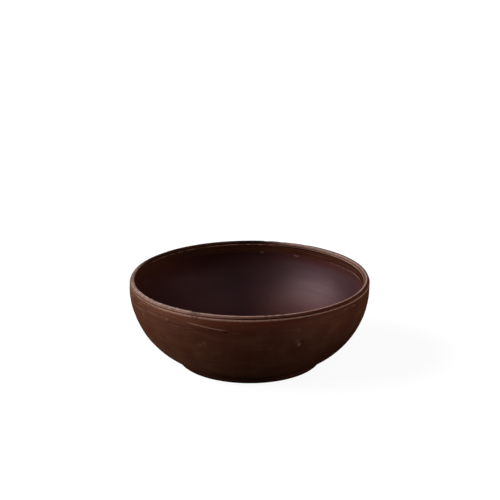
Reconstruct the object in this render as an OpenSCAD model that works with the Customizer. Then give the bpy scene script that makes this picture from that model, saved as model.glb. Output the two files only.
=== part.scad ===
// Wheel-thrown clay bowl with a luted lip coil, a luted foot ring and a slip lining.
// Every piece is a body of revolution about Z. The table is at Z = 0. Millimetres.

/* [Wall] */
// Outside diameter of the wall at its widest
rim_d = 160; // [145:1:200]
// Overall height, from the table to the top of the lip
bowl_h = 58; // [50:0.5:75]
// Thickness of the wall at its top edge
wall_t = 4.4; // [3.6:0.1:6]
// Height of the upright band at the top of the wall
band_h = 3; // [2:0.5:5]
// Rounding of the two top edges of the wall
edge_r = 0.5; // [0.2:0.1:0.8]

/* [Floor] */
// Thickness of the floor over the foot ring
floor_t = 4.6; // [3.6:0.1:7]
// Diameter of the flat floor inside
floor_d = 78; // [60:1:90]

/* [Lip coil] */
// Width of the ledge left on each side of the lip coil
ledge_w = 0.65; // [0.3:0.05:0.9]
// Height of the upright sides of the lip coil, under its half-round crown
lip_side_h = 0.45; // [0.2:0.05:2]

/* [Foot ring] */
// Outside diameter of the foot ring
foot_d = 97; // [88:1:108]
// Height of the foot ring
foot_h = 4; // [3.5:0.5:7]
// Width of the foot ring
foot_w = 8; // [7:0.5:14]
// Rounding of the lower outer edge of the foot ring
foot_edge_r = 2.6; // [1:0.2:3]
// Rounding of the lower inner edge of the foot ring
foot_inner_r = 1.2; // [0.6:0.2:2]
// Rounding of the upper outer edge of the foot ring, along its seam
foot_seam_r = 0.5; // [0.2:0.1:0.5]

/* [Luted joints] */
// Width of the key under the lip coil
lip_key_w = 1.2; // [0.8:0.1:1.6]
// Height of the key under the lip coil
lip_key_h = 0.8; // [0.5:0.1:1.2]
// Width of the key on the foot ring
foot_key_w = 3; // [2:0.5:5]
// Height of the key on the foot ring
foot_key_h = 1.2; // [0.8:0.1:1.6]
// Gap around each key, which the luting slip fills
key_gap = 0.1; // [0.05:0.05:0.2]

/* [Slip lining] */
// Thickness of the slip coat
slip_t = 0.6; // [0.4:0.1:1]
// Depth of the upper edge of the slip below the top of the lip
slip_drop = 7; // [6:0.5:16]

/* [Hidden] */
$fn = 128;
// Reach of a cutting shape past the face that it opens
over = 1;

rim_r = rim_d / 2;
inner_r = rim_r - wall_t;
wall_mid_r = (rim_r + inner_r) / 2;

lip_r = wall_t / 2 - ledge_w;
lip_side_z = bowl_h - lip_r;
wall_top_z = lip_side_z - lip_side_h;
band_z = wall_top_z - band_h;

foot_r = foot_d / 2;
foot_bore_r = foot_r - foot_w;
foot_mid_r = (foot_r + foot_bore_r) / 2;

floor_r = floor_d / 2;
floor_z = foot_h + floor_t;
slip_z = bowl_h - slip_drop;

// The outside curve is upright where the band starts and ends at the foot ring's outer edge.
belly_r = chord_radius(band_z - foot_h, rim_r - foot_r);
belly_mid_r = rim_r - belly_r;

// The inside curve is upright where the band starts and ends at the edge of the flat floor.
cove_r = chord_radius(band_z - floor_z, inner_r - floor_r);
cove_mid_r = inner_r - cove_r;

// Radius of the arc with this rise over this half chord
function chord_radius(half_chord, rise) = (half_chord ^ 2 + rise ^ 2) / (2 * rise);

// Rectangle of the section between two radii and two heights
module section_box(r0, r1, z0, z1) {
    translate([r0, z0]) square([r1 - r0, z1 - z0]);
}

// What a rounded corner takes off a section: inward holds the signs of the way into the clay.
module corner_round(corner, inward, r) {
    centre = corner + r * inward;
    outer = corner - over * inward;
    difference() {
        section_box(
            min(centre.x, outer.x), max(centre.x, outer.x),
            min(centre.y, outer.y), max(centre.y, outer.y)
        );
        translate(centre) circle(r);
    }
}

// Section filled from the axis out to an upright band, with a round belly that falls away below it
module bowl_outline(mid_r, belly, bottom_z, top_z) {
    section_box(0, mid_r + belly, band_z, top_z);
    section_box(0, mid_r, bottom_z, band_z);
    intersection() {
        translate([mid_r, band_z]) circle(belly);
        section_box(mid_r, mid_r + belly, bottom_z, band_z);
    }
}

// Section of the space inside the bowl, with its walls and floor set back by grow
module hollow_outline(grow = 0) {
    bowl_outline(cove_mid_r, cove_r + grow, floor_z - grow, bowl_h + over);
}

// Section of the slip's own space, wall side, up to its edge
module slip_bed_outline() {
    intersection() {
        hollow_outline(slip_t);
        section_box(0, rim_r, 0, slip_z);
    }
}

// Section of the groove that takes a key: mid_r is the key's middle, base_z its root, way its direction
module key_groove(mid_r, key_w, key_h, base_z, way) {
    half_w = key_w / 2 + key_gap;
    tip_z = base_z + way * (key_h + key_gap);
    mouth_z = base_z - way * over;
    section_box(mid_r - half_w, mid_r + half_w, min(tip_z, mouth_z), max(tip_z, mouth_z));
}

// Wall and floor, thrown in one from a single lump of clay
module thrown_body() {
    color("#4b2c21") rotate_extrude() difference() {
        bowl_outline(belly_mid_r, belly_r, foot_h, wall_top_z);
        hollow_outline();
        slip_bed_outline();
        corner_round([rim_r, wall_top_z], [-1, -1], min(edge_r, ledge_w));
        corner_round([inner_r, wall_top_z], [1, -1], min(edge_r, ledge_w));
        key_groove(wall_mid_r, lip_key_w, lip_key_h, wall_top_z, -1);
        key_groove(foot_mid_r, foot_key_w, foot_key_h, foot_h, 1);
    }
}

// Coil of clay luted along the top of the wall, with a half-round crown
module lip_coil() {
    lip_in_r = wall_mid_r - lip_r;
    lip_out_r = wall_mid_r + lip_r;
    color("#6b463a") rotate_extrude() union() {
        section_box(lip_in_r, lip_out_r, wall_top_z, lip_side_z);
        intersection() {
            translate([wall_mid_r, lip_side_z]) circle(lip_r);
            section_box(lip_in_r - over, lip_out_r + over, lip_side_z, bowl_h + over);
        }
        section_box(
            wall_mid_r - lip_key_w / 2, wall_mid_r + lip_key_w / 2,
            wall_top_z - lip_key_h, wall_top_z
        );
    }
}

// Ring of clay luted under the floor, which the bowl stands on
module foot_ring() {
    color("#3a2018") rotate_extrude() union() {
        difference() {
            section_box(foot_bore_r, foot_r, 0, foot_h);
            corner_round([foot_r, 0], [-1, 1], foot_edge_r);
            corner_round([foot_bore_r, 0], [1, 1], foot_inner_r);
            corner_round([foot_r, foot_h], [-1, -1], foot_seam_r);
        }
        section_box(
            foot_mid_r - foot_key_w / 2, foot_mid_r + foot_key_w / 2,
            foot_h, foot_h + foot_key_h
        );
    }
}

// Coat of dark slip on the inside, flush with the bare clay above its edge
module slip_lining() {
    color("#35232a") rotate_extrude() difference() {
        slip_bed_outline();
        hollow_outline();
    }
}

thrown_body();
lip_coil();
foot_ring();
slip_lining();
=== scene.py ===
# Looks of a wheel-thrown clay bowl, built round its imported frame. Lengths are in metres.
# Azimuth 0 faces the camera and grows to the right, seen from above.
import math
from types import SimpleNamespace

import bpy
import numpy as np
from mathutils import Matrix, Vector


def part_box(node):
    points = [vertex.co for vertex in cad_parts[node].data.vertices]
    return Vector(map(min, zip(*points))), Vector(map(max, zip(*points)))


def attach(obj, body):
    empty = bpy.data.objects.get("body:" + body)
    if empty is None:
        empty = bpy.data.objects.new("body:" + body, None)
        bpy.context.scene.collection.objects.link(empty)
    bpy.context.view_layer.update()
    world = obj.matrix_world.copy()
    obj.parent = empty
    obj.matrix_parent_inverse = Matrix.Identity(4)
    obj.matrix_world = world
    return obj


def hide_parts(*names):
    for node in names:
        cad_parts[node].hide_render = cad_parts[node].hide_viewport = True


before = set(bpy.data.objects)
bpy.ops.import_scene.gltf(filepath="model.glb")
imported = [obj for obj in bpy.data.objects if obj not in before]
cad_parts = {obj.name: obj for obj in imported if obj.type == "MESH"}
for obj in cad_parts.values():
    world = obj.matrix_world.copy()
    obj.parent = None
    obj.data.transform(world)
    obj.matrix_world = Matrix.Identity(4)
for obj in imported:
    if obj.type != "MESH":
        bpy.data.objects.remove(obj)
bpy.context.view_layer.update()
mm = 0.001
fullTurn = 2 * math.pi

# Section of the bowl: the few sizes that the frame's boxes can't show, and what the boxes give
bodyLow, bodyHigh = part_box("thrown_body")
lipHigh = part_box("lip_coil")[1]
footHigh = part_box("foot_ring")[1]
slipLow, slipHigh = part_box("slip_lining")
section = SimpleNamespace(
    wallThick=4.4 * mm, bandHeight=3 * mm, footWidth=8 * mm, slipThick=0.6 * mm, floorRadius=39 * mm,
    rim=bodyHigh.x, wallTop=bodyHigh.z, underside=bodyLow.z, lipOuter=lipHigh.x, crest=lipHigh.z,
    foot=footHigh.x, slipTop=slipHigh.z, slipBed=slipLow.z,
)
section.inner = section.rim - section.wallThick
section.wallMiddle = (section.rim + section.inner) / 2
section.bandFoot = section.wallTop - section.bandHeight
section.recess = section.foot - section.footWidth
section.floorTop = section.slipBed + section.slipThick

# The slow unevenness that a hand leaves on the wheel, which every piece shares
hand = {
    "drawIn": 0.15 * mm,  # most that the waves draw the rim in
    "waves": [(2, 0.3, 0.6), (3, 0.2, -1.1)],  # waves to a turn, share and phase
    "dip": 0.3 * mm, "dipPhase": 1.05,  # most that the lip dips, on one side
}

# Sides of the bowl that several pieces share: azimuth and reach in degrees, and the shaded one's soft edge.
# The scuffed side is also the side the window lamp lights, where highlights are painted. The shaded side at
# the back left is painted with shade
sides = {"scuffed": (-72, 42), "smoked": (-152, 54, 23)}


def toLinear(hexColour):
    # sRGB hex to linear RGBA: each channel is undone by the sRGB curve
    srgb = np.array([int(hexColour[i:i + 2], 16) for i in (1, 3, 5)]) / 255
    linear = np.where(srgb <= 0.04045, srgb / 12.92, ((srgb + 0.055) / 1.055) ** 2.4)
    return (*linear.tolist(), 1.0)


def addNode(tree, kind, inputs, **settings):
    # Outputs of a new node. Settings are its own properties, inputs are values or sockets to link
    node = tree.nodes.new("ShaderNode" + kind)
    for name, value in settings.items():
        setattr(node, name, value)
    for key, value in inputs.items():
        if isinstance(value, bpy.types.NodeSocket):
            tree.links.new(value, node.inputs[key])
        else:
            node.inputs[key].default_value = value
    return node.outputs


def addObject(name, data):
    # New object at the origin, unturned, in the scene
    added = bpy.data.objects.new(name, data)
    bpy.context.scene.collection.objects.link(added)
    return added


def towards(azimuthDeg, elevationDeg):
    # Unit vector: azimuth 0 is the front, at -Y, and grows to the right. Elevation lifts it from level
    azimuth, elevation = math.radians(azimuthDeg), math.radians(elevationDeg)
    level = math.cos(elevation)
    return Vector((math.sin(azimuth) * level, -math.cos(azimuth) * level, math.sin(elevation)))


def ease(way, whole=1):
    # 0 to 1 with flat ends, over the whole of a way
    share = np.clip(way / whole, 0, 1)
    return share * share * (3 - 2 * share)


def bell(offset, width):
    # 1 in the middle, falling to about a third at its width
    return np.exp(-(offset / width) ** 2)


def between(start, end, share):
    # Straight blend: the start and a share of the way to the end
    return start + (end - start) * share


def strongest(field, *others):
    # The largest of several fields at each point
    for other in others:
        field = np.maximum(field, other)
    return field


def degreesFrom(angle, azimuthDeg):
    # Signed way round from an azimuth, in degrees
    return (np.degrees(angle) - azimuthDeg + 180) % 360 - 180


def sideOf(at, side):
    # 1 at the side's azimuth, falling to about a third at its reach
    azimuthDeg, reachDeg = side
    return bell(degreesFrom(at.angle, azimuthDeg), reachDeg)


def within(at, azimuthDeg, reachDeg, edgeDeg):
    # 1 round an azimuth, falling over a soft edge to 0 at its reach
    return ease(reachDeg - np.abs(degreesFrom(at.angle, azimuthDeg)), edgeDeg)


def streaks(at, run):
    # Value noise from -1 to 1, drawn out round the bowl: random levels on rows a pitch apart, each row cut
    # into spans of the turn from its own starting place, and eased between neighbours both ways
    rng = np.random.default_rng(run["seed"])
    spans = run["spans"]
    row = at.along / run["pitch"] + 0 * at.angle
    low = np.floor(row).astype(int)
    first = low.min()
    count = low.max() - first + 2
    levels = rng.uniform(-1, 1, (count, spans))
    starts = rng.uniform(0, spans, count)

    def onRow(index):
        # level at a place on a row, eased between its two spans
        place = at.angle / fullTurn * spans + starts[index]
        left = np.floor(place).astype(int)
        share = ease(place - left)
        return between(levels[index, left % spans], levels[index, (left + 1) % spans], share)

    return between(onRow(low - first), onRow(low - first + 1), ease(row - low))


def cutStreaks(at, run):
    # Streaks as relief, whose tops lie on the section and the rest below it
    return run["height"] * (streaks(at, run) - 1)


def specks(at, run):
    # Short streaks, spread about a level and cut off at 0 and 1
    return np.clip(run["level"] + run["spread"] * streaks(at, run), 0, 1)


def marksOn(marks, at):
    # Bell-shaped marks: the depth of them all, and the bare clay or the painted shade of the strongest at
    # each point
    depth = bare = shadeAndSoot = 0 * (at.height + at.angle)
    for azimuthDeg, level, halfWidth, halfHeight, deep, shown in marks:
        sideways = np.radians(degreesFrom(at.angle, azimuthDeg)) * at.radius
        mark = bell(sideways, halfWidth * mm) * bell(at.height - level * mm, halfHeight * mm)
        depth = depth + deep * mm * mark
        bare = np.maximum(bare, shown * mark)
        shadeAndSoot = np.maximum(shadeAndSoot, -shown * mark)
    return depth, bare, shadeAndSoot


def lineRun(start, end, count):
    # Straight run of a section, without its end
    return np.linspace(start, end, count, endpoint=False)


def arcRun(centre, radius, startDeg, endDeg, count):
    # Round run of a section, without its end
    turn = np.radians(np.linspace(startDeg, endDeg, count, endpoint=False))
    return np.stack([centre[0] + radius * np.cos(turn), centre[1] + radius * np.sin(turn)], axis=1)


def bowlArc(bottom, top):
    # Centre radius, arc radius and sweep of the arc from bottom to top that is upright at its top
    reach = top[0] - bottom[0]
    rise = top[1] - bottom[1]
    radius = (rise ** 2 + reach ** 2) / (2 * reach)
    return top[0] - radius, radius, math.asin(rise / radius)


def alongSection(outline, start):
    # Way along a section from one of its points, growing back towards the section's beginning
    step = np.linalg.norm(np.diff(outline, axis=0), axis=1)
    length = np.concatenate([[0], np.cumsum(step)])
    return (length[start] - length)[:, None]


def sectionNormals(outline, ring):
    # Outward direction at points of a section that runs anticlockwise: its tangent turned a quarter right
    ahead = np.roll(outline, -1, axis=0)
    behind = np.roll(outline, 1, axis=0)
    if not ring:
        ahead[-1] = outline[-1]
        behind[0] = outline[0]
    tangent = ahead - behind
    normal = np.stack([tangent[:, 1], -tangent[:, 0]], axis=1)
    return normal / np.linalg.norm(normal, axis=1, keepdims=True)


def unevenness(radius, height, angle):
    # Inward only: waves of 1 - cos draw the radius in, and one squared wave lets the lip dip on one side.
    # Both grow with the height
    share = height / section.crest
    draw = sum(part * (1 - np.cos(count * angle + phase)) for count, part, phase in hand["waves"])
    dip = (0.5 + 0.5 * np.cos(angle + hand["dipPhase"])) ** 2
    return (
        radius * (1 - hand["drawIn"] / section.rim * draw * share),
        height - hand["dip"] * dip * share ** 2,
    )


def columnAngles(columns):
    # Azimuths of the columns, in equal steps of a full turn
    return np.arange(columns)[None, :] / columns * fullTurn


def pointsOn(outline, columns, start):
    # Where a piece's points lie, along the section from its start, and on the sides that pieces share
    at = SimpleNamespace(angle=columnAngles(columns), along=alongSection(outline, start))
    at.radius, at.height = outline[:, :1], outline[:, 1:]
    at.scuffed, at.smoked = sideOf(at, sides["scuffed"]), within(at, *sides["smoked"])
    return at


def turned(radius, height, angle):
    # Points at a radius and height, turned from the front to the right by the angle
    return np.stack([radius * np.sin(angle), -radius * np.cos(angle), height + 0 * angle], axis=-1)


def carryRound(outline, angle, relief, slide=0, ring=False):
    # Point (row, column): the section's point, moved out along its normal by the relief and up by the slide,
    # then turned to the column's azimuth
    normal = sectionNormals(outline, ring)
    radius = outline[:, :1] + normal[:, :1] * relief
    height = outline[:, 1:] + normal[:, 1:] * relief + slide
    return turned(*unevenness(radius, height, angle), angle)


def gridPiece(name, grid, attributes, ring=False, startPole=None, endPole=None):
    # Faces between neighbours on a grid whose columns close round the axis. A ring's rows close as well.
    # A pole is a height on the axis, and is joined to the first or last row by a fan
    rows, columns = grid.shape[:2]
    row = np.arange(rows if ring else rows - 1)[:, None] * columns
    nextRow = (row + columns) % (rows * columns)
    column = np.arange(columns)[None, :]
    right = (column + 1) % columns
    corners = [row + column, row + right, nextRow + right, nextRow + column]
    faces = np.stack(corners, axis=-1).reshape(-1, 4).tolist()
    points = [grid.reshape(-1, 3)]
    fields = {key: value + 0 * grid[:, :, 0] for key, value in attributes.items()}
    values = {key: [field.ravel()] for key, field in fields.items()}
    column, right = column.ravel(), right.ravel()
    tip = np.full(columns, rows * columns)
    lastRow = tip - columns
    lastTip = tip + (startPole is not None)
    fans = (startPole, 0, [tip, right, column]), (endPole, -1, [lastRow + column, lastRow + right, lastTip])
    for pole, end, fan in fans:
        if pole is not None:
            faces += np.stack(fan, axis=-1).tolist()
            points.append([[0, 0, pole]])
            for key, field in fields.items():
                values[key].append([field[end].mean()])
    mesh = bpy.data.meshes.new(name)
    mesh.from_pydata(np.concatenate(points).tolist(), [], faces)
    for key, value in values.items():
        layer = mesh.attributes.new(key, "FLOAT", "POINT")
        layer.data.foreach_set("value", np.concatenate(value).astype(np.float32))
    mesh.shade_smooth()
    print(f"{name}: {len(faces)} faces")
    return addObject(name, mesh)


def clayFields(at, wearAndHighlight, shadeAndSoot, dustAndLight=0, redness=0):
    # What the clays' material reads at each point, with wear and painted highlight, and painted shade, cut
    # off at 0 and 1
    wearAndHighlight, shadeAndSoot = np.clip(wearAndHighlight, 0, 1), np.clip(shadeAndSoot, 0, 1)
    return {"along": at.along, "wearAndHighlight": wearAndHighlight, "shadeAndSoot": shadeAndSoot, "dustAndLight": dustAndLight, "redness": redness}


def settle(piece, material, node):
    # Gives a piece its material in a new slot and its body, and hides the frame's part for the node it stands
    # for
    piece.data.materials.append(material)
    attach(piece, "root")
    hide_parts(node)


# Section of the inside, which the wall and the slip share
cove = {
    "rows": 118,
    "crowd": 1.15,  # gathers the rows towards the lip
    # thickness of the slip at its edge, and the way down to its full thickness
    "feather": 0.12 * mm, "featherReach": 4 * mm,
}
coveMiddle, coveRadius, coveSweep = bowlArc(
    (section.floorRadius, section.floorTop), (section.inner, section.bandFoot)
)


def coveRun(fromHeight, rows, backed):
    # Arc of the inside from a height down to the floor. The backed one lies behind the slip, whose coat
    # feathers out towards its edge
    start = math.asin((section.bandFoot - fromHeight) / coveRadius)
    end = coveSweep
    if backed:
        end = math.asin((section.bandFoot - section.slipBed) / (coveRadius + section.slipThick))
    turn = start + (end - start) * np.linspace(0, 1, rows) ** cove["crowd"]
    radius = coveRadius + 0 * turn
    if backed:
        depth = (turn - start) * coveRadius
        full = section.slipThick - cove["feather"]
        radius += cove["feather"] + full * ease(depth / cove["featherReach"])
    return np.stack([coveMiddle + radius * np.cos(turn), section.bandFoot - radius * np.sin(turn)], axis=1)


# Thrown body. A side is its azimuth and reach in degrees. Amounts of wear and painted highlight, painted
# shade, dust and painted light, and red are shares
wall = {
    "columns": 480,
    # points on the runs of the section, from the middle of the underside to the middle of the floor
    "rows": {
        "underside": 32, "seat": 2, "belly": 112, "band": 12, "shoulder": 6, "top": 3, "innerBand": 18,
        "behindSlip": 12, "behindFloor": 2,
    },
    "crowd": 1.6,  # gathers the belly's rows towards the lip
    "firstRing": 1 / 8,  # of the underside, as a share of the foot's radius
    "hiddenRing": 0.9,  # behind the slip's floor, as a share of the floor's radius
    "shoulder": 0.5 * mm,  # rounding of the two top edges
    # how far over the slip's edge the bare band starts, and the way it takes
    "overSlip": 1 * mm, "bandFade": 2 * mm,
    # streaks: wide ridges left by the fingers, wheel lines, finer ones, rings turned into the underside,
    # scratches, and the specks that break the wear
    "swell": {"height": 0.12 * mm, "pitch": 7 * mm, "spans": 4, "seed": 13},
    "line": {"height": 0.08 * mm, "pitch": 1.5 * mm, "spans": 5, "seed": 11},
    "fine": {"height": 0.02 * mm, "pitch": 0.9 * mm, "spans": 9, "seed": 12},
    "ring": {"height": 0.16 * mm, "pitch": 3 * mm, "spans": 3, "seed": 17},
    "scratch": {"pitch": 1.1 * mm, "spans": 11, "seed": 15},
    "speck": {"pitch": 0.9 * mm, "spans": 200, "seed": 16, "level": 0.55, "spread": 1.1},
    # how far down the wheel lines are strong, and what is left of them below
    "lineReach": 13 * mm, "lineLow": 0.25,
    "seamFade": 3 * mm,  # the ridges run out above the foot
    "ringFade": 2 * mm, "poleFade": 12 * mm,  # the rings run out beside the foot, and towards the middle
    # burr of a tool mark that winds down from the ledge: azimuths, height at its end and climb per degree
    "burr": {
        "startDeg": -31, "endDeg": -8, "startFade": 7, "endFade": 6, "foot": 47.9 * mm, "climb": 0.135 * mm,
        "height": 0.2 * mm, "halfWidth": 0.26 * mm,
    },
    # scored lines: half width, share of the half length over which they fade, waver and its waves to a turn,
    # how far below them the rubbed edge lies, and what is left of them between specks
    "score": {
        "halfWidth": 0.35 * mm, "fade": 0.4, "waver": 0.15 * mm, "wavers": 3, "edgeDrop": 0.65 * mm,
        "broken": 0.5,
    },
    # each: height in mm, first and last azimuth, depth in mm, and how rubbed its lower edge is
    "scores": [
        (54.6, -116, -44, 0.2, 0.55), (53.3, -110, -54, 0.18, 0.65), (51.9, -104, -58, 0.16, 0.5),
        (50.6, -62, -40, 0.08, 0.25), (49.5, 4, 15, 0.03, 0.08), (39.5, 3, 13, 0.06, 0.12),
        (38.3, 4, 12, 0.06, 0.15), (37.1, 3, 12, 0.06, 0.12), (35.8, 4, 11, 0.06, 0.15),
        (53.4, 46, 62, 0.1, 0.35), (54.5, 142, 252, 0.16, 0.35), (53.2, 150, 236, 0.14, 0.4),
        (51.8, 172, 226, 0.12, 0.3), (41.5, 148, 172, 0.06, 0.15), (40.2, 150, 168, 0.06, 0.15),
    ],
    "innerScores": [
        (55.1, 88, 172, 0.18, 0.1), (53.9, 94, 128, 0.16, 0.35), (53.3, 126, 152, 0.1, 0.35),
        (52.6, 96, 134, 0.14, 0.4),
    ],
    # dents, short strokes and wide smears: azimuth, then height, half width, half height and depth in mm,
    # and the bare clay that they show, or painted shade if negative. The wide smears paint shade across the
    # front
    "dents": [
        (23.6, 36.4, 0.9, 1.3, 0.35, 0.55), (22.4, 39.2, 1.3, 1.6, 0.15, 0.2),
        (25.2, 37.6, 1.0, 1.6, 0.2, -0.5), (22.8, 47.2, 1.2, 1.1, 0.15, 0.12),
        (-10.6, 46.8, 1.3, 0.7, 0.4, -1.0), (-23.7, 36.4, 2.0, 1.0, 0.2, 0.2),
        (-21.5, 38.0, 1.0, 1.6, 0.15, 0.2), (-22.4, 36.0, 1.2, 0.9, 0.2, -0.4),
        (-39.0, 48.2, 1.6, 0.9, 0.25, -0.6), (-41.0, 49.6, 1.4, 0.8, 0.15, 0.3),
        (-61.4, 43.9, 1.3, 1.1, 0.25, -0.6), (-59.5, 45.6, 1.2, 1.0, 0.15, 0.25),
        (-45.2, 34.9, 1.2, 1.0, 0.25, -0.6), (-26.6, 55.1, 0.8, 1.0, 0.25, -0.7),
        (-24.4, 54.9, 0.8, 1.3, 0.25, -0.7), (51.7, 53.0, 2.0, 0.6, 0.2, 0.1),
        (112.0, 46.0, 1.3, 0.9, 0.2, -0.5), (139.0, 35.5, 1.2, 1.5, 0.3, 0.4),
        (141.5, 37.0, 1.0, 1.2, 0.2, -0.4), (166.0, 48.4, 1.5, 0.9, 0.2, 0.25),
        (186.0, 31.0, 1.4, 1.1, 0.25, -0.5), (209.0, 42.5, 1.1, 1.4, 0.25, 0.35),
        (231.0, 37.5, 1.6, 0.9, 0.2, -0.5),
    ],
    "strokes": [
        (-6.8, 47.0, 2.6, 0.45, 0.05, 0.22), (-36.0, 46.4, 4.2, 0.4, 0.05, 0.25),
        (-29.0, 46.9, 3.4, 0.4, 0.05, 0.22), (-24.5, 45.6, 2.6, 0.4, 0.05, 0.18),
    ],
    "smears": [(-16.0, 46.8, 42.0, 3.6, 0.03, -0.42), (-26.0, 42.0, 18.0, 6.0, 0.02, -0.24)],
    "innerDents": [
        (153.6, 52.2, 1.0, 0.8, 0.2, -0.8), (152.6, 54.6, 0.7, 1.2, 0.15, -0.7),
        (150.4, 54.6, 0.7, 1.2, 0.15, -0.7), (108.0, 53.6, 0.9, 0.7, 0.15, -0.6),
        (108.0, 51.9, 13.0, 0.4, 0.05, -0.7),
    ],
    "wearAndHighlight": {
        # outer shoulder: its share, what two sides add, and how far down it is worn, less on the sharp side
        "outer": 0.85, "outerMore": 0.15, "depth": 1.9 * mm, "fade": 1.3 * mm,
        "sharpSide": (40, 34), "sharpDepth": 1.1 * mm, "sharpFade": 0.7 * mm,
        # how far in over the top, what the scuffed side loses between specks, and what the shaded side loses
        "width": 0.6 * mm, "widthFade": 0.3 * mm, "broken": 0.5, "smokedLoss": 0.8,
        # inner shoulder, worn and painted with a highlight that is strongest on the side the window lamp
        # lights: how far down, its least share, the side with most, and specks on the shaded side
        "innerDepth": 0.5 * mm, "innerFade": 0.35 * mm, "innerLeast": 0.08, "innerSide": (118, 32),
        "innerShaded": 0.45,
        # tops of the scratches on the scuffed, lit side, painted as highlights, and of the rings underneath
        "ridge": 0.45, "ridgeGain": 1.8, "ridgeCut": 0.3, "ridgeDrop": 3 * mm, "ridgeReach": 7 * mm,
        "ring": 0.3,
    },
    # Painted shade: black in the scored lines, darker on the band above the slip, on the shaded side, near
    # the foot and low on the right
    "shadeAndSoot": {
        "grooveFill": 0.2 * mm, "innerGrooveFill": 0.12 * mm,  # depth at which a scored line is black
        "band": 0.5, "bandDrop": 0.5 * mm,  # above the slip
        # painted shade on the shaded side at the back left, near the top
        "smoked": 0.6, "smokedReach": 14 * mm,
        "low": 0.35, "lowTop": 16 * mm, "lowFade": 12 * mm,  # near the foot, less in it and on the left
        "recessLoss": 0.55, "ringLoss": 0.3, "leftLoss": 0.8,
        "right": 0.55, "rightSide": (60, 42), "rightTop": 46 * mm, "rightFade": 24 * mm,
    },
    # the low left side, lit by the window lamp, is paler with dust and painted light, and has less painted
    # shade near the foot
    "lowLeft": (-45, 28),  # side that is dusty and less sooty near the foot
    # dust and painted light; the patch on the right is painted light
    "dustAndLight": {
        # share, side and reach
        "scuffed": (0.3, sides["scuffed"], 22 * mm), "front": (0.35, (-38, 22), 9 * mm),
        "low": 0.4, "lowTop": 30 * mm, "lowFade": 16 * mm,
        "right": 0.25, "rightSide": (26, 18), "rightHeight": 49 * mm, "rightReach": 7 * mm,
    },
    "red": {"reach": 10 * mm, "side": (0, 28), "least": 0.25, "smokedLoss": 0.6},
}


def bodyOutline():
    # Section up the outside, over the two shoulders and down behind the slip
    rows, rounding = wall["rows"], wall["shoulder"]
    rim, inner, top = section.rim, section.inner, section.wallTop
    low, bed = section.underside, section.slipBed
    middle, radius, sweep = bowlArc((section.foot, low), (rim, section.bandFoot))
    turn = -sweep * (1 - np.arange(rows["belly"]) / rows["belly"]) ** wall["crowd"]
    outside = [
        lineRun((section.foot * wall["firstRing"], low), (section.recess, low), rows["underside"]),
        lineRun((section.recess, low), (section.foot, low), rows["seat"]),
        np.stack([middle + radius * np.cos(turn), section.bandFoot + radius * np.sin(turn)], axis=1),
        lineRun((rim, section.bandFoot), (rim, top - rounding), rows["band"]),
    ]
    inside = [
        arcRun((rim - rounding, top - rounding), rounding, 0, 90, rows["shoulder"]),
        lineRun((rim - rounding, top), (inner + rounding, top), rows["top"]),
        arcRun((inner + rounding, top - rounding), rounding, 90, 180, rows["shoulder"]),
        lineRun((inner, top - rounding), (inner, section.slipTop + wall["overSlip"]), rows["innerBand"]),
        coveRun(section.slipTop, rows["behindSlip"], backed=True),
        lineRun((section.floorRadius * wall["hiddenRing"], bed), (0, bed), rows["behindFloor"]),
    ]
    edge = sum(len(run) for run in outside)
    return np.concatenate(outside + inside), edge


def bodyPoints(outline, edge):
    # The way along the section is counted from the outer edge of the top
    at = pointsOn(outline, wall["columns"], edge)
    row = np.arange(len(outline))[:, None]
    isUnder = row < wall["rows"]["underside"]
    at.isOutside = row < edge + wall["rows"]["shoulder"]
    at.isInside = at.radius < section.wallMiddle
    at.inRecess = ease(section.recess - at.radius, wall["ringFade"]) * isUnder
    at.band = ease(at.height - section.slipTop - wall["overSlip"], wall["bandFade"]) * at.isInside
    at.lowLeft = sideOf(at, wall["lowLeft"])
    at.rings, at.speck = streaks(at, wall["ring"]), specks(at, wall["speck"])
    return at


def wheelMarks(at):
    # Ridges and lines on the outside, lines on the band above the slip, and rings underneath
    swell, lines, fine = (cutStreaks(at, wall[key]) for key in ("swell", "line", "fine"))
    strength = between(wall["lineLow"], 1, bell(at.along, wall["lineReach"]))
    seam = ease(at.height - section.underside, wall["seamFade"]) * at.isOutside
    rings = wall["ring"]["height"] * (at.rings - 1) * at.inRecess * ease(at.radius / wall["poleFade"])
    return (swell + lines * strength + fine) * seam + lines * at.band + rings


def toolMark(at):
    # Burr along a line that climbs to the left, faded at both ends
    burr = wall["burr"]
    degrees = degreesFrom(at.angle, 0)
    line = burr["foot"] + burr["climb"] * (burr["endDeg"] - degrees)
    left = ease(degrees - burr["startDeg"], burr["startFade"])
    right = ease(burr["endDeg"] - degrees, burr["endFade"])
    return bell(at.height - line, burr["halfWidth"]) * left * right * at.isOutside


def scoreLines(scores, at):
    # Lines turned into the clay, faded at both ends: a narrow groove, and the rubbed edge just under it, a
    # pale line that is partly a painted highlight
    score = wall["score"]
    groove = rubbed = 0 * (at.height + at.angle)
    for level, firstDeg, lastDeg, depth, rub in scores:
        middle, half = (firstDeg + lastDeg) / 2, (lastDeg - firstDeg) / 2
        ends = within(at, middle, half, score["fade"] * half)
        offset = at.height - level * mm + score["waver"] * np.sin(score["wavers"] * at.angle + level)
        groove = groove + depth * mm * bell(offset, score["halfWidth"]) * ends
        rubbed = np.maximum(rubbed, rub * bell(offset + score["edgeDrop"], score["halfWidth"]) * ends)
    return groove, rubbed


def innerShoulder(at):
    # Where the inner shoulder lies, and how far it is worn and painted with a highlight: most on the side the
    # window lamp lights, and in specks on the shaded side
    wornAndLit = wall["wearAndHighlight"]
    onTop = ease(at.height - section.wallTop + wornAndLit["innerDepth"], wornAndLit["innerFade"]) * at.isInside
    share = between(wornAndLit["innerLeast"], 1, sideOf(at, wornAndLit["innerSide"]))
    return onTop, onTop * (share + wornAndLit["innerShaded"] * at.smoked * at.speck)


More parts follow.
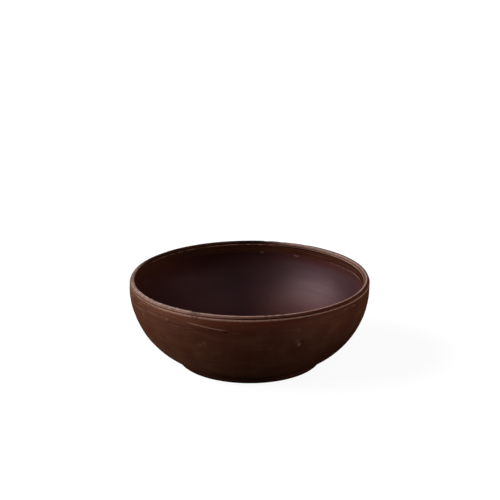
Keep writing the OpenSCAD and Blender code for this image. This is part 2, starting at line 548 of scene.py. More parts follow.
def bodyWearAndHighlights(at, innerWearAndHighlight, bare):
    # Wear and painted highlights: the two shoulders, the tops of scratches on the scuffed, lit side, the
    # rings underneath, and the bare marks
    wornAndLit = wall["wearAndHighlight"]
    sharp = sideOf(at, wornAndLit["sharpSide"])
    depth = between(wornAndLit["depth"], wornAndLit["sharpDepth"], sharp)
    fade = between(wornAndLit["fade"], wornAndLit["sharpFade"], sharp)
    onTop = ease(at.height - section.wallTop + depth, fade) * at.isOutside
    onTop = onTop * ease(at.radius - section.rim + wornAndLit["width"], wornAndLit["widthFade"])
    outer = onTop * (wornAndLit["outer"] + wornAndLit["outerMore"] * (at.scuffed + sharp))
    outer = outer * (1 - wornAndLit["broken"] * at.scuffed * (1 - at.speck)) * (1 - wornAndLit["smokedLoss"] * at.smoked)
    scratches = streaks(at, wall["scratch"])
    ridges = np.clip(scratches * wornAndLit["ridgeGain"] - wornAndLit["ridgeCut"], 0, 1) * at.scuffed * at.isOutside
    ridges = wornAndLit["ridge"] * ridges * bell(at.along - wornAndLit["ridgeDrop"], wornAndLit["ridgeReach"])
    rings = np.clip(wornAndLit["ring"] * at.rings, 0, 1) * at.inRecess
    return strongest(outer + innerWearAndHighlight, ridges, bare, rings)


def bodyShade(at, innerTop, innerWearAndHighlight):
    # Painted shade on the band above the slip, on the shaded side, and on the wall near the foot and low on
    # the right
    shadeAndSoot = wall["shadeAndSoot"]
    band = ease(at.height - section.slipTop + shadeAndSoot["bandDrop"], shadeAndSoot["bandDrop"]) * at.isInside
    smoke = at.smoked * np.exp(-np.abs(at.along) / shadeAndSoot["smokedReach"])
    low = ease(shadeAndSoot["lowTop"] - at.height, shadeAndSoot["lowFade"]) * at.isOutside
    low = low * (1 - at.inRecess * (shadeAndSoot["recessLoss"] + shadeAndSoot["ringLoss"] * at.rings))
    low = low * (1 - shadeAndSoot["leftLoss"] * at.lowLeft)
    right = ease(shadeAndSoot["rightTop"] - at.height, shadeAndSoot["rightFade"]) * at.isOutside
    right = right * sideOf(at, shadeAndSoot["rightSide"])
    return strongest(
        shadeAndSoot["band"] * band * (1 - innerWearAndHighlight), shadeAndSoot["smoked"] * smoke * (1 - innerTop),
        shadeAndSoot["low"] * low, shadeAndSoot["right"] * right,
    )


def bodyDustAndLight(at):
    # Dust and painted light: paler on the scuffed side that the window lamp lights, under the lip in front,
    # low on the left, and in a painted patch of light on the right
    dustAndLight = wall["dustAndLight"]
    scuffed, front = (
        share * sideOf(at, side) * np.exp(-at.along / reach)
        for share, side, reach in (dustAndLight["scuffed"], dustAndLight["front"])
    )
    low = dustAndLight["low"] * at.lowLeft * ease(dustAndLight["lowTop"] - at.height, dustAndLight["lowFade"]) * (1 - at.inRecess)
    right = dustAndLight["right"] * sideOf(at, dustAndLight["rightSide"])
    right = right * bell(at.height - dustAndLight["rightHeight"], dustAndLight["rightReach"])
    return (scuffed + front + low + right) * at.isOutside


def bodyRedness(at):
    # Under the lip, most of all in front, where the red is partly a painted shade tone, and on the band above
    # the slip, less so on the shaded side
    red = wall["red"]
    outer = bell(at.along, red["reach"]) * between(red["least"], 1, sideOf(at, red["side"]))
    return outer * at.isOutside + at.band * (1 - red["smokedLoss"] * at.smoked)


def makeBody():
    # The section carried round, with wheel marks and the burr, less the scored lines and the dents
    outline, edge = bodyOutline()
    at = bodyPoints(outline, edge)
    burr = toolMark(at)
    groove, rubbed = scoreLines(wall["scores"], at)
    groove = groove * between(wall["score"]["broken"], 1, at.speck) * at.isOutside
    innerGroove, innerRubbed = scoreLines(wall["innerScores"], at)
    innerGroove = innerGroove * at.band
    rubbed = rubbed * at.speck * at.isOutside + innerRubbed * at.band
    outerMarks = wall["dents"] + wall["strokes"] + wall["smears"]
    depth, bare, shadeAndSoot = (field * at.isOutside for field in marksOn(outerMarks, at))
    innerDepth, innerBare, innerShadeAndSoot = (field * at.isInside for field in marksOn(wall["innerDents"], at))
    relief = wheelMarks(at) + wall["burr"]["height"] * burr - groove - innerGroove - depth - innerDepth

    innerTop, innerWearAndHighlight = innerShoulder(at)
    wearAndHighlight = bodyWearAndHighlights(at, innerWearAndHighlight, strongest(burr, rubbed, bare, innerBare))
    inGrooves = groove / wall["shadeAndSoot"]["grooveFill"] + innerGroove / wall["shadeAndSoot"]["innerGrooveFill"]
    shadeAndSoot = strongest(inGrooves, shadeAndSoot, innerShadeAndSoot, bodyShade(at, innerTop, innerWearAndHighlight))
    fields = clayFields(at, wearAndHighlight, shadeAndSoot, bodyDustAndLight(at), bodyRedness(at))
    grid = carryRound(outline, at.angle, relief)
    return gridPiece("thrownBody", grid, fields, startPole=section.underside, endPole=section.slipBed)


# Lip coil. Places across it run from -1 on its inner side to 1 on its outer side
lip = {
    "columns": 960,
    "rows": {"base": 6, "seam": 4, "side": 2, "crown": 44},
    "seamRound": 0.2 * mm,  # rounding of the two seams with the wall
    "raise": 1.2 * mm,  # height over the seams at which its marks have their full depth
    "scuff": {"height": 0.05 * mm, "pitch": 0.7 * mm, "spans": 40, "seed": 21},
    "speck": {"pitch": 0.9 * mm, "spans": 240, "seed": 22, "level": 0.6, "spread": 1.0},
    # nicks: azimuth, half width in degrees, depth in mm, and the painted shade in them
    "nicks": [
        (7.5, 0.7, 0.12, 0.4), (11, 0.6, 0.12, 0.4), (15.5, 0.8, 0.15, 0.4),
        (-27, 0.5, 0.2, 0.7), (-25.8, 0.45, 0.2, 0.7), (-24.6, 0.45, 0.2, 0.7), (-23.4, 0.4, 0.15, 0.6),
        (171, 1.2, 0.25, 0.3), (163, 1.0, 0.2, 0.3), (150, 1.4, 0.2, 0.3),
    ],
    # fine lines along the coil: degrees round it from its outer side, first and last azimuth, depth in mm
    "lines": [
        (36, -110, -22, 0.12), (76, -106, -66, 0.1), (152, 92, 165, 0.15), (112, 96, 160, 0.12),
        (27, 20, 82, 0.12),
    ],
    "lineDeg": 10,  # half width of a line, in the same degrees
    "lineFade": 15,  # degrees of azimuth over which its ends run out
    # the fine lines hold painted shade
    "lineShade": 0.85, "lineBroken": 0.3,  # soot in it, and how far the scuffs break that
    # on the far right the crest's painted highlight lies further in, with painted shade outside it
    "farRight": (128, 30),  # side where the worn crest lies further in, and soot outside it
    "wearAndHighlight": {
        # worn crest, partly a painted highlight: its middle, which lies further out in front, its half width
        # and its soft edge
        "middle": -0.1, "wander": 0.28, "scuffedMiddle": 0.1, "farMiddle": -0.4,
        "half": 0.25, "edge": 0.24, "scuffedHalf": 0.4, "narrowHalf": -0.1, "narrowSide": (45, 40),
        # way from the middle to a worn flank, and where the two flanks are worn and painted with highlights
        "flank": 0.5, "outer": 0.8, "outerSide": (-48, 36), "inner": 0.5, "innerSide": (138, 46),
        # what scuffs take, and what the scuffed side gains, and loses between specks
        "scuffs": 0.15, "scuffedMore": 0.2, "broken": 0.45,
        # what shows on the shaded side, and from where
        "smoked": 0.24, "smokedFrom": -0.3, "smokedEdge": 0.4,
    },
    # Painted shade: in the grooves along both seams, on the shaded side, at the back and on the far right
    "shadeAndSoot": {
        "groove": 0.92, "grooveTop": 0.7 * mm, "grooveFade": 0.5 * mm,  # along both seams
        "cleanSide": (-47, 32), "clean": 0.9,
        # where it reaches higher, or lower if negative: side, and share of its height
        "rises": [((20, 18), 0.3), ((0, 10), 0.35), ((54, 20), -0.8)],
        "smoked": 0.55, "backSide": (180, 16),
        "far": 0.8, "farFrom": -0.6, "farEdge": 0.3,
    },
}


def lipOutline():
    # Closed section: a flat base, a rounded seam on each side, short upright sides and a half round
    middle, base, rounding, rows = section.wallMiddle, section.wallTop, lip["seamRound"], lip["rows"]
    crown = section.lipOuter - middle
    inner, outer = middle - crown, middle + crown
    sideTop = section.crest - crown
    return np.concatenate([
        lineRun((inner + rounding, base), (outer - rounding, base), rows["base"]),
        arcRun((outer - rounding, base + rounding), rounding, -90, 0, rows["seam"]),
        lineRun((outer, base + rounding), (outer, sideTop), rows["side"]),
        arcRun((middle, sideTop), crown, 0, 180, rows["crown"]),
        lineRun((inner, sideTop), (inner, base + rounding), rows["side"]),
        arcRun((inner + rounding, base + rounding), rounding, 180, 270, rows["seam"]),
    ])


def lipPoints(outline):
    # Heights are counted from the top of the wall
    at = pointsOn(outline, lip["columns"], 0)
    at.height = at.height - section.wallTop
    at.raised = ease(at.height, lip["raise"])
    at.across = (at.radius - section.wallMiddle) / (section.lipOuter - section.wallMiddle)
    at.farRight = sideOf(at, lip["farRight"])
    at.scuffs, at.speck = streaks(at, lip["scuff"]), specks(at, lip["speck"])
    return at


def lipMarks(at):
    # Scuffs below the section, nicks across the coil and fine lines along it, and the painted shade in them
    relief = lip["scuff"]["height"] * (at.scuffs - 1) * at.raised
    shadeAndSoot = 0 * relief
    for azimuthDeg, halfWidthDeg, depth, nickShade in lip["nicks"]:
        nick = sideOf(at, (azimuthDeg, halfWidthDeg)) * at.raised
        relief = relief - depth * mm * nick
        shadeAndSoot = np.maximum(shadeAndSoot, nickShade * nick)
    turnDeg = np.degrees(np.arccos(np.clip(at.across, -1, 1)))
    for placeDeg, firstDeg, lastDeg, depth in lip["lines"]:
        middle, half = (firstDeg + lastDeg) / 2, (lastDeg - firstDeg) / 2
        ends = within(at, middle, half, lip["lineFade"])
        line = bell(turnDeg - placeDeg, lip["lineDeg"]) * ends * at.raised
        relief = relief - depth * mm * line
        shadeAndSoot = np.maximum(shadeAndSoot, lip["lineShade"] * line * (1 - lip["lineBroken"] * (1 - at.scuffs)))
    return relief, shadeAndSoot


def lipWearAndHighlights(at):
    # Wear and painted highlights: a line along the crest that wanders outwards in front, the outer side where
    # the wall is scuffed and lit, and the inner side opposite, which the window lamp lights. On the shaded
    # side a little shows outside instead
    wornAndLit = lip["wearAndHighlight"]
    middle = wornAndLit["middle"] + wornAndLit["wander"] * np.cos(at.angle)
    middle = middle + wornAndLit["scuffedMiddle"] * at.scuffed + wornAndLit["farMiddle"] * at.farRight
    half = wornAndLit["half"] + wornAndLit["scuffedHalf"] * at.scuffed
    half = half + wornAndLit["narrowHalf"] * sideOf(at, wornAndLit["narrowSide"])
    crest = ease(half + wornAndLit["edge"] - np.abs(at.across - middle), wornAndLit["edge"]) * at.raised
    outer = strongest(at.scuffed, sideOf(at, wornAndLit["outerSide"])) * at.raised
    outer = wornAndLit["outer"] * outer * ease(at.across / wornAndLit["flank"])
    inner = wornAndLit["inner"] * sideOf(at, wornAndLit["innerSide"]) * ease(-at.across / wornAndLit["flank"])
    wearAndHighlight = strongest(crest, outer, inner) * (1 - wornAndLit["scuffs"] * (1 - at.scuffs)) * (1 - at.smoked)
    wearAndHighlight = wearAndHighlight * (1 + at.scuffed * (wornAndLit["scuffedMore"] - wornAndLit["broken"] * (1 - at.speck)))
    smoked = at.smoked * ease(at.across - wornAndLit["smokedFrom"], wornAndLit["smokedEdge"]) * at.raised
    return crest, wearAndHighlight + wornAndLit["smoked"] * smoked


def lipShade(at):
    # Painted shade in the grooves at both seams, on the shaded side, at the back, and outside the crest on
    # the far right
    shadeAndSoot = lip["shadeAndSoot"]
    top = shadeAndSoot["grooveTop"] * (1 + sum(share * sideOf(at, side) for side, share in shadeAndSoot["rises"]))
    groove = ease(top - at.height, shadeAndSoot["grooveFade"])
    groove = groove * (shadeAndSoot["groove"] - shadeAndSoot["clean"] * sideOf(at, shadeAndSoot["cleanSide"]))
    far = ease(at.across - shadeAndSoot["farFrom"], shadeAndSoot["farEdge"]) * at.farRight * at.raised
    back = sideOf(at, shadeAndSoot["backSide"])
    return strongest(groove, shadeAndSoot["smoked"] * at.smoked, back, shadeAndSoot["far"] * far)


def makeLip():
    # The closed section carried round, less its scuffs, nicks and fine lines
    outline = lipOutline()
    at = lipPoints(outline)
    relief, shadeAndSoot = lipMarks(at)
    crest, wearAndHighlight = lipWearAndHighlights(at)
    fields = clayFields(at, wearAndHighlight, strongest(shadeAndSoot, lipShade(at)), redness=1 - crest)
    grid = carryRound(outline, at.angle, relief, ring=True)
    return gridPiece("lipCoil", grid, fields, ring=True)


# Foot ring
foot = {
    "columns": 288,
    "rows": {"face": 8, "edge": 12, "side": 4, "seam": 6, "top": 6, "innerSide": 6, "innerEdge": 8},
    "edge": 2.6 * mm, "innerEdge": 1.2 * mm, "seam": 0.5 * mm,  # roundings
    "rub": {"height": 0.12 * mm, "pitch": 1.2 * mm, "spans": 60, "seed": 31},
    # heights over which the marks fade out at the face and at the seam
    "rubFoot": 1 * mm, "rubTop": 0.6 * mm,
    "bareTop": 0.5 * mm, "bareBroken": 0.3,  # height of the rubbed face, and how far the marks break it
    # the rubbed face is worn, and painted shade darkens the rest of the foot
    "wearAndHighlight": 0.5, "shadeAndSoot": 0.45,
}


def makeFoot():
    # Closed section carried round, less the rub marks: a flat face, upright sides and rounded edges
    rows = foot["rows"]
    inner, outer, top = section.recess, section.foot, section.underside
    edge, small, seam = foot["edge"], foot["innerEdge"], foot["seam"]
    outline = np.concatenate([
        lineRun((inner + small, 0), (outer - edge, 0), rows["face"]),
        arcRun((outer - edge, edge), edge, -90, 0, rows["edge"]),
        lineRun((outer, edge), (outer, top - seam), rows["side"]),
        arcRun((outer - seam, top - seam), seam, 0, 90, rows["seam"]),
        lineRun((outer - seam, top), (inner, top), rows["top"]),
        lineRun((inner, top), (inner, small), rows["innerSide"]),
        arcRun((inner + small, small), small, 180, 270, rows["innerEdge"]),
    ])
    at = pointsOn(outline, foot["columns"], 0)
    rough = streaks(at, foot["rub"])
    fade = ease(at.height, foot["rubFoot"]) * ease(top - at.height, foot["rubTop"])
    relief = foot["rub"]["height"] * (rough - 1) * fade
    rubbed = ease(foot["bareTop"] - at.height, foot["bareTop"]) * (1 - foot["bareBroken"] * (1 - rough))
    fields = clayFields(at, foot["wearAndHighlight"] * rubbed, foot["shadeAndSoot"] * (1 - rubbed))
    grid = carryRound(outline, at.angle, relief, ring=True)
    return gridPiece("footRing", grid, fields, ring=True)


# Slip lining
slip = {
    "columns": 384,
    "rows": {"bed": 6, "back": 24, "floor": 26},
    "firstRing": 1 / 8,  # of its bed, as a share of the floor's radius
    "lastRing": 1.5 * mm,  # round the middle of the floor
    "brush": {"height": 0.025 * mm, "pitch": 2.6 * mm, "spans": 5, "seed": 41},
    "swell": {"height": 0.075 * mm, "pitch": 9 * mm, "spans": 4, "seed": 42},
    "edgeFade": 2 * mm, "poleFade": 12 * mm,  # both run out at the slip's edge and towards the middle
    "poolReach": 8 * mm,  # how far the slip that pools along the floor reaches from its edge
    # how far the brushed edge wanders down, and how far below it that is felt
    "wave": 0.9 * mm, "waveReach": 8 * mm,
    "waves": [(2, 0.3, -0.5), (7, 0.2, 1.3)],  # waves to a turn, share and phase
    # pits and strokes: azimuth, then height, half width, half height and depth in mm, and the bare clay shown
    "pits": [
        (173.2, 50.6, 1.0, 0.4, 0.2, 0.4), (154.0, 50.3, 1.1, 0.4, 0.3, 0.7),
        (-150.2, 20.9, 2.2, 0.5, 0.2, 0.0), (130.5, 50.5, 2.4, 0.35, 0.08, 0.15),
        (125.5, 50.3, 3.0, 0.35, 0.08, 0.15), (121.0, 50.1, 2.0, 0.35, 0.08, 0.15),
        (116.8, 50.3, 2.4, 0.35, 0.08, 0.25),
    ],
    # rubbed stretch of its edge
    "rub": {"reach": 0.5 * mm, "pitch": 4 * mm, "spans": 30, "seed": 43, "side": (108, 7), "share": 0.8},
    # radius at which the wall's colours begin, and the way they take
    "wallFrom": 8 * mm, "wallFade": 34 * mm,
    # how far down it is thin and matt, and the side where it is thin too
    "thin": {"edge": 6 * mm, "side": (-80, 50)},
    # how far down it starts to turn brown, partly painted warm bounce light, the way it takes, where it is
    # less brown, and a brown patch, a painted pool of light low on the left
    "brownAndBounce": {
        "depth": 12 * mm, "reach": 28 * mm, "thinLoss": 0.6,
        "losses": [((-175, 20), 0.8), ((140, 42), 0.35)],
        "patch": 0.55, "patchSide": (-142, 22), "patchDepth": 6 * mm, "patchReach": 10 * mm,
    },
    # painted shade on the thin side and under the lip at the back, and a darker tone round the rubbed
    # stretch: share, side and reach
    "shadeAndSoot": {"thin": 0.5, "smoke": (0.95, (-175, 34), 34 * mm), "dull": (0.55, (108, 14), 10 * mm)},
}


def slipOutline():
    # Section out along the bed, up the back to the edge, and down the face to the middle of the floor
    rows, bed, floorTop = slip["rows"], section.slipBed, section.floorTop
    firstRing = section.floorRadius * slip["firstRing"]
    floor = np.linspace((section.floorRadius, floorTop), (slip["lastRing"], floorTop), rows["floor"] + 1)
    back = [
        lineRun((firstRing, bed), (section.floorRadius, bed), rows["bed"]),
        coveRun(section.slipTop, rows["back"], backed=True)[::-1],
    ]
    face = [coveRun(section.slipTop, cove["rows"], backed=False), floor[1:]]
    return np.concatenate(back + face), sum(len(run) for run in back)


def slipRelief(at, edge):
    # Brush marks and swells below the section, and the pool: two parabolas that rise to a point as sharp as
    # the crease at the floor's edge, and so fill it smoothly
    brush, swell = (cutStreaks(at, slip[key]) for key in ("brush", "swell"))
    fade = ease(-at.along / slip["edgeFade"]) * ease(at.radius / slip["poleFade"])
    crease = math.pi / 2 - coveSweep
    fromCrease = np.abs(at.along - at.along[edge + cove["rows"] - 1]) / slip["poolReach"]
    pool = crease * slip["poolReach"] / 4 * np.clip(1 - fromCrease, 0, 1) ** 2
    return ((brush + swell) * fade + pool) * at.shows


def slipColours(at, wearAndHighlight):
    # Slip is thin along its edge and round one side, and brown towards the floor and in one patch, partly
    # painted bounce light. Painted shade darkens the thin side and the back
    thinning, brownBounce, shadeAndSoot = slip["thin"], slip["brownAndBounce"], slip["shadeAndSoot"]
    onWall = ease(at.radius - slip["wallFrom"], slip["wallFade"])
    thinSide = sideOf(at, thinning["side"]) * onWall
    thin = strongest(bell(at.along, thinning["edge"] * (1 + at.smoked)), thinSide)
    brownAndBounce = ease(-at.along - brownBounce["depth"], brownBounce["reach"]) * (1 - brownBounce["thinLoss"] * thinSide)
    for side, loss in brownBounce["losses"]:
        brownAndBounce = brownAndBounce * (1 - loss * sideOf(at, side) * onWall)
    patch = brownBounce["patch"] * sideOf(at, brownBounce["patchSide"]) * onWall
    brownAndBounce = strongest(brownAndBounce, patch * ease(-at.along - brownBounce["patchDepth"], brownBounce["patchReach"]))
    smoke, dull = (
        share * sideOf(at, side) * np.exp(at.along / reach) * at.shows
        for share, side, reach in (shadeAndSoot["smoke"], shadeAndSoot["dull"])
    )
    darkened = strongest(shadeAndSoot["thin"] * thinSide * (1 - brownAndBounce), smoke * (1 - brownAndBounce), dull * (1 - wearAndHighlight))
    return {"thin": thin, "brownAndBounce": brownAndBounce, "shadeAndSoot": darkened}


def makeSlip():
    # The coat's section carried round, with brush marks and pool, less the pits, and its edge slid down
    outline, edge = slipOutline()
    at = pointsOn(outline, slip["columns"], edge)
    at.shows = (np.arange(len(outline)) >= edge)[:, None]
    depth, bare = (field * at.shows for field in marksOn(slip["pits"], at)[:2])
    rub = slip["rub"]
    rubbed = bell(at.along, rub["reach"]) * (0.5 + 0.5 * streaks(at, rub)) * sideOf(at, rub["side"])
    wearAndHighlight = np.clip(strongest(bare, rub["share"] * rubbed), 0, 1)
    wave = sum(part * (1 + np.cos(count * at.angle + phase)) for count, part, phase in slip["waves"])
    slide = -slip["wave"] * wave * ease(1 - (section.slipTop - at.height) / slip["waveReach"])
    fields = {"along": at.along, "wearAndHighlight": wearAndHighlight, **slipColours(at, wearAndHighlight)}
    grid = carryRound(outline, at.angle, slipRelief(at, edge) - depth, slide)
    return gridPiece("slipLining", grid, fields, startPole=section.slipBed, endPole=section.floorTop)


# Materials. Noise lies about 0.5: levels close to that give a clear pattern, wider ones a soft one
clearNoise, patchyNoise, softNoise = (0.35, 0.65), (0.35, 0.6), (0.3, 0.7)

# What the clays share. Real grit is 0.2 to 0.4 mm, and is drawn coarser so that it shows
clay = {
    "grit": 0.9 * mm, "fleck": 2.2 * mm,
    "streakSpan": 25 * mm,  # how far round the bowl a streak runs
    "streaked": 0.45, "reddened": 0.85,  # most that streaks darken it, and that it turns red
    "smooth": 0.78, "rough": 0.92, "bump": 0.5,
}


def newMaterial(name):
    # Material with Blender's own shader, and its nodes
    material = bpy.data.materials.new(name)
    material.use_nodes = True
    print("material", name)
    return material, material.node_tree


def drawnOut(tree, pitch, span):
    # Noise in streaks that run round the bowl: along the section by the pitch, round it by the span
    split = addNode(tree, "SeparateXYZ", {0: addNode(tree, "TexCoord", {})["Object"]})
    along = addNode(tree, "Attribute", {}, attribute_name="along")["Fac"]
    joined = addNode(tree, "CombineXYZ", {0: along, 1: split[0], 2: split[1]})[0]
    scale = (1 / pitch, 1 / span, 1 / span)
    place = addNode(tree, "VectorMath", {0: joined, 1: scale}, operation="MULTIPLY")[0]
    return addNode(tree, "TexNoise", {"Vector": place, "Scale": 1, "Detail": 3})[0]


def layColours(tree, look, layers):
    # The dark colour with the others laid over it in turn, each by its share. Sockets 6 and 7 are the colours
    colour = toLinear(look["dark"])
    for share, key in layers:
        colour = addNode(tree, "Mix", {0: share, 6: colour, 7: toLinear(look[key])}, data_type="RGBA")[2]
    return colour


def joinUp(tree, look, colour, rough, strength, bumps):
    # The shader's inputs. Bumps are heights and distances, each laid over the one before
    shader = tree.nodes["Principled BSDF"].inputs
    shader["Specular IOR Level"].default_value = look["gloss"]
    normal = {}
    for height, distance in bumps:
        inputs = {"Height": height, "Strength": strength, "Distance": distance, **normal}
        normal = {"Normal": addNode(tree, "Bump", inputs)[0]}
    for key, value in {"Base Color": colour, "Roughness": rough, **normal}.items():
        tree.links.new(value, shader[key])
    return shader


def firedClay(name, look):
    # Unglazed earthenware, thrown and fired: a dry, matt, slightly mottled brown with wheel streaks, redder
    # near the lip, dark where shade is painted, and paler where it is dusty or rubbed bare and where light
    # and highlights are painted
    material, tree = newMaterial(name)
    place = addNode(tree, "TexCoord", {})["Object"]
    wearAndHighlight, redness, shadeAndSoot, dustAndLight = (
        addNode(tree, "Attribute", {}, attribute_name=key)["Fac"]
        for key in ("wearAndHighlight", "redness", "shadeAndSoot", "dustAndLight")
    )
    streak = drawnOut(tree, look["streak"], clay["streakSpan"])
    mottle, grit, fleck = (
        addNode(tree, "TexNoise", {"Vector": place, "Scale": 1 / size, "Detail": detail})[0]
        for size, detail in ((look["mottle"], 3), (clay["grit"], 2), (clay["fleck"], 2))
    )
    # what lies between two levels of a noise, drawn out to run from low to high
    pale, dark, patchy, rough = (
        addNode(tree, "MapRange", {0: value, 1: levels[0], 2: levels[1], 3: low, 4: high})[0]
        for value, levels, low, high in (
            (mottle, clearNoise, 0, 1), (streak, clearNoise, 0, clay["streaked"]),
            (fleck, patchyNoise, look["bare"], 1), (grit, softNoise, clay["smooth"], clay["rough"]),
        )
    )
    red, wornAndLit = (
        addNode(tree, "Math", {0: amount, 1: share}, operation="MULTIPLY")[0]
        for amount, share in ((redness, clay["reddened"]), (wearAndHighlight, patchy))
    )
    colour = layColours(tree, look, (
        (pale, "pale"), (red, "red"), (dustAndLight, "dustyAndLit"), (dark, "dark"), (wornAndLit, "wornAndLit"), (shadeAndSoot, "shadeAndSootColour"),
    ))
    bumps = ((grit, look["grainHeight"]), (streak, look["lineHeight"]))
    joinUp(tree, look, colour, rough, clay["bump"], bumps)
    return material


def burnishedSlip(name, look):
    # Dark iron slip, brushed on and burnished: satin and purple-brown, with faint brush streaks round the
    # bowl, matt and red where the coat is thin, brown towards the floor, partly painted bounce light, and
    # darker with painted shade on one side and at the back
    material, tree = newMaterial(name)
    place = addNode(tree, "TexCoord", {})["Object"]
    wearAndHighlight, thin, brownAndBounce, shadeAndSoot = (
        addNode(tree, "Attribute", {}, attribute_name=key)["Fac"]
        for key in ("wearAndHighlight", "thin", "brownAndBounce", "shadeAndSoot")
    )
    streak = drawnOut(tree, look["streak"], look["streakSpan"])
    cloud = addNode(tree, "TexNoise", {"Vector": place, "Scale": 1 / look["cloud"], "Detail": 2})[0]
    pale, satin = (
        addNode(tree, "MapRange", {0: value, 1: levels[0], 2: levels[1], 3: low, 4: high})[0]
        for value, levels, low, high in (
            (cloud, clearNoise, 0, 1), (streak, softNoise, look["smooth"], look["rough"]),
        )
    )
    colour = layColours(tree, look, (
        (pale, "pale"), (brownAndBounce, "brownAndBounce"), (thin, "red"), (shadeAndSoot, "shadeAndSootColour"), (wearAndHighlight, "wornAndLit"),
    ))
    rough = addNode(tree, "MapRange", {0: thin, 3: satin, 4: look["thinRough"]})[0]
    shader = joinUp(tree, look, colour, rough, look["bump"], [(streak, look["lineHeight"])])
    shader["Specular Tint"].default_value = toLinear(look["tint"])
    return material


wallClay = firedClay("wheel-thrown earthenware", {
    "dark": "#502b1f", "pale": "#5c3a28", "red": "#5c281a", "dustyAndLit": "#7a5242", "wornAndLit": "#ab8674",
    "shadeAndSootColour": "#1d0f0a", "mottle": 14 * mm, "streak": 1.4 * mm, "bare": 0.75,
    "grainHeight": 0.06 * mm, "lineHeight": 0.08 * mm, "gloss": 0.0,
})
lipClay = firedClay("rubbed earthenware", {
    "dark": "#522f21", "pale": "#653a2a", "red": "#58251a", "dustyAndLit": "#7a5242", "wornAndLit": "#bc9d91",
    "shadeAndSootColour": "#140803", "mottle": 9 * mm, "streak": 0.8 * mm, "bare": 0.7,
    "grainHeight": 0.05 * mm, "lineHeight": 0.05 * mm, "gloss": 0.08,
})
footClay = firedClay("trimmed earthenware", {
    "dark": "#46281d", "pale": "#573326", "red": "#4a271d", "dustyAndLit": "#6a4638", "wornAndLit": "#a08277",
    "shadeAndSootColour": "#1d0f0a", "mottle": 10 * mm, "streak": 1.2 * mm, "bare": 0.5,
    "grainHeight": 0.07 * mm, "lineHeight": 0.05 * mm, "gloss": 0.0,
})
slipCoat = burnishedSlip("burnished iron slip", {
    "dark": "#2d1418", "pale": "#351b21", "red": "#431b11", "brownAndBounce": "#562d25", "shadeAndSootColour": "#200502",
    "wornAndLit": "#ae8f84", "tint": "#ffd4dc", "cloud": 22 * mm, "streak": 1.6 * mm, "streakSpan": 40 * mm,
    "lineHeight": 0.012 * mm, "bump": 0.4, "gloss": 0.46, "smooth": 0.48, "rough": 0.54, "thinRough": 1.0,
})

settle(makeBody(), wallClay, "thrown_body")
settle(makeLip(), lipClay, "lip_coil")
settle(makeFoot(), footClay, "foot_ring")
settle(makeSlip(), slipCoat, "slip_lining")

# Camera: the rim's centre falls on its pixel of a square picture
shot = {
    "distance": 1.0, "elevationDeg": 18.7, "focalPixels": 1505.0, "imagePixels": 500, "sensorMm": 36,
    "rimCentre": (0, 0, 57.3 * mm), "rimPixel": (249.6, 276.4), "farthest": 50,
}
camera = addObject("camera", bpy.data.cameras.new("camera"))
tilt = math.radians(shot["elevationDeg"])
middlePixel = shot["imagePixels"] / 2
camera.location = Vector(shot["rimCentre"]) + shot["distance"] * towards(0, shot["elevationDeg"])
lookUp = math.atan((shot["rimPixel"][1] - middlePixel) / shot["focalPixels"])
lookLeft = math.atan((shot["rimPixel"][0] - middlePixel) / shot["focalPixels"])
camera.rotation_euler = (math.pi / 2 - tilt + lookUp, 0, lookLeft)
camera.data.sensor_width = shot["sensorMm"]
camera.data.lens = shot["focalPixels"] * shot["sensorMm"] / shot["imagePixels"]
camera.data.clip_end = shot["farthest"]
bpy.context.scene.camera = camera
print("camera", shot["elevationDeg"], "degrees up")

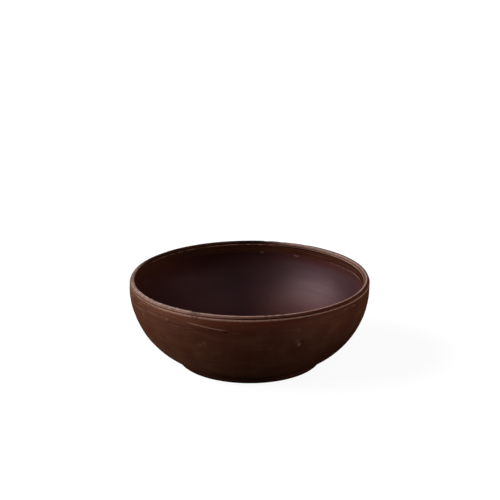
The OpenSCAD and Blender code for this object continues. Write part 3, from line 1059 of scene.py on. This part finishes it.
# Light: wide soft suns, so that the floor is lit evenly all over, in a dim room. A level of 1 shows a colour
# as written on a face turned to the lamp. The low fill isn't mirrored: the slip shows no reflection of it
lamps = {
    "windowSide": {"azimuthDeg": -82, "elevationDeg": 29, "spreadDeg": 50, "level": 1.05, "mirrored": True},
    "lowFill": {"azimuthDeg": 88, "elevationDeg": 5, "spreadDeg": 40, "level": 0.33, "mirrored": False},
    "highFill": {"azimuthDeg": 58, "elevationDeg": 42, "spreadDeg": 60, "level": 0.11, "mirrored": True},
}
roomLevel = 0.05
for name, lamp in lamps.items():
    light = bpy.data.lights.new(name, "SUN")
    light.energy = lamp["level"] * math.pi
    light.angle = math.radians(lamp["spreadDeg"])
    lightObject = addObject(name, light)
    direction = towards(lamp["azimuthDeg"], lamp["elevationDeg"])
    lightObject.rotation_euler = direction.to_track_quat("Z", "Y").to_euler()
    lightObject.visible_glossy = lamp["mirrored"]
    print("lamp", name)
world = bpy.data.worlds.new("dim room")
world.use_nodes = True
world.node_tree.nodes["Background"].inputs["Color"].default_value = (roomLevel, roomLevel, roomLevel, 1)
bpy.context.scene.world = world

# Floor that rises into a backdrop all round
stage = {
    "columns": 96,
    "rows": {"flat": 5, "cove": 8},
    "drop": 0.02 * mm,  # keeps it clear of the foot's face
    "firstRing": 0.1, "flat": 5.0, "cove": 1.0, "height": 1.4, "colour": "#808080",
    "whiten": 0.92,  # what the camera, mirrors and glass see on top of the lit colour
}


def stageOutline():
    # A flat run, a quarter round and an upright wall
    flat, bend, rows = stage["flat"], stage["cove"], stage["rows"]
    return np.concatenate([
        lineRun((stage["firstRing"], 0), (flat, 0), rows["flat"]),
        arcRun((flat, bend), bend, -90, 0, rows["cove"]),
        np.array([(flat + bend, bend), (flat + bend, stage["height"])]),
    ])


def whitePaper():
    # Matt paper that looks white to the camera and in reflections, and throws back only its own grey as light
    material, tree = newMaterial("matt white paper")
    tree.nodes.clear()
    paper = addNode(tree, "BsdfDiffuse", {"Color": toLinear(stage["colour"])})[0]
    path = addNode(tree, "LightPath", {})
    seen = path["Is Camera Ray"]
    for ray in ("Is Glossy Ray", "Is Transmission Ray"):
        seen = addNode(tree, "Math", {0: seen, 1: path[ray]}, operation="MAXIMUM")[0]
    strength = addNode(tree, "Math", {0: seen, 1: stage["whiten"]}, operation="MULTIPLY")[0]
    glow = addNode(tree, "Emission", {"Strength": strength})[0]
    addNode(tree, "OutputMaterial", {"Surface": addNode(tree, "AddShader", {0: paper, 1: glow})[0]})
    return material


def makeStage():
    # The section turned round the axis, a hair below the foot
    outline = stageOutline()
    grid = turned(outline[:, :1], outline[:, 1:] - stage["drop"], columnAngles(stage["columns"]))
    # seen from inside, so its columns run the other way round
    floor = gridPiece("studioFloor", grid[:, ::-1], {}, startPole=-stage["drop"])
    floor.data.materials.append(whitePaper())
    floor.visible_shadow = False


makeStage()
bpy.context.scene.view_settings.view_transform = "Standard"
